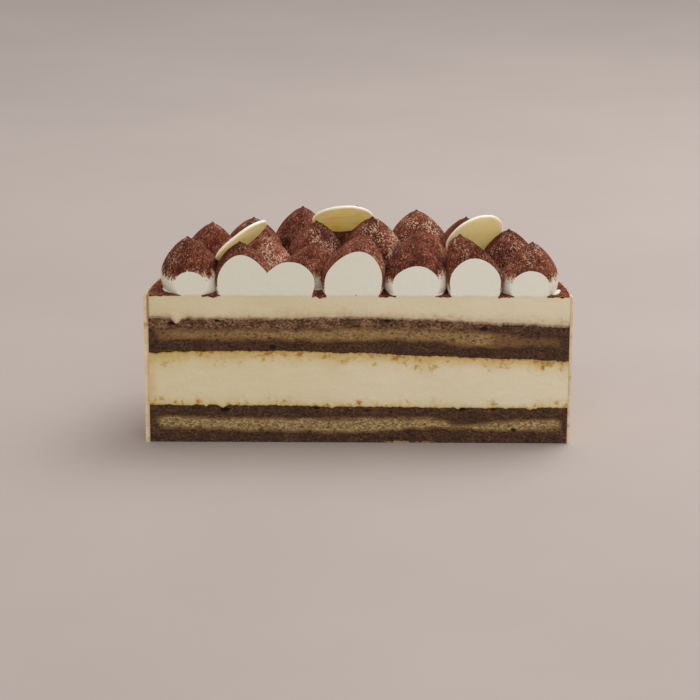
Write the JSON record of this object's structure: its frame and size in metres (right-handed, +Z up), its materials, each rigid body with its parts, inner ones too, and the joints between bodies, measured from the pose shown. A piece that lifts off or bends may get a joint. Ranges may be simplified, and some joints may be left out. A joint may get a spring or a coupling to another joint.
{
  "type": "tiramisu cake half",
  "caption": "Half of a round layered tiramisu cake: coffee sponges and cream in layers, cocoa-dusted piped cream kisses and thin white chocolate rounds on top.",
  "frame": {"origin": "on the resting surface, under the middle of the whole piece's box", "axes": "+Z up, +X along the knife cut to the right when the cut face is seen, +Y from the cut face towards the round back"},
  "size_m": [0.2, 0.1, 0.1058],
  "materials": {
    "coffee_sponge": "moist coffee-soaked sponge, porous, darker at its faces",
    "cream": "smooth set mascarpone cream, soft satin",
    "cream_coat": "thin spread cream skin, soft satin",
    "piped_cream": "piped whipped cream dusted with dry cocoa",
    "cocoa_dust": "dry cocoa powder, matt and grainy",
    "white_chocolate": "thin white chocolate, satin"
  },
  "bodies": {
    "root": {"sponge_lower": "coffee_sponge", "sponge_upper": "coffee_sponge", "cream_middle": "cream", "cream_top": "cream", "cream_coat": "cream_coat", "chocolate_round_left": "white_chocolate", "chocolate_round_middle": "white_chocolate", "chocolate_round_right": "white_chocolate", "kiss_outer_1": "piped_cream", "kiss_outer_2": "piped_cream", "kiss_outer_3": "piped_cream", "kiss_outer_4": "piped_cream", "kiss_outer_5": "piped_cream", "kiss_outer_6": "piped_cream", "kiss_outer_7": "piped_cream", "kiss_outer_8": "piped_cream", "kiss_outer_9": "piped_cream", "kiss_middle_1": "piped_cream", "kiss_middle_2": "piped_cream", "kiss_middle_3": "piped_cream", "kiss_middle_4": "piped_cream", "kiss_middle_5": "piped_cream", "kiss_middle_6": "piped_cream", "kiss_inner_1": "piped_cream", "kiss_inner_2": "piped_cream", "kiss_inner_3": "piped_cream", "kiss_centre": "piped_cream"}
  },
  "joints": []
}
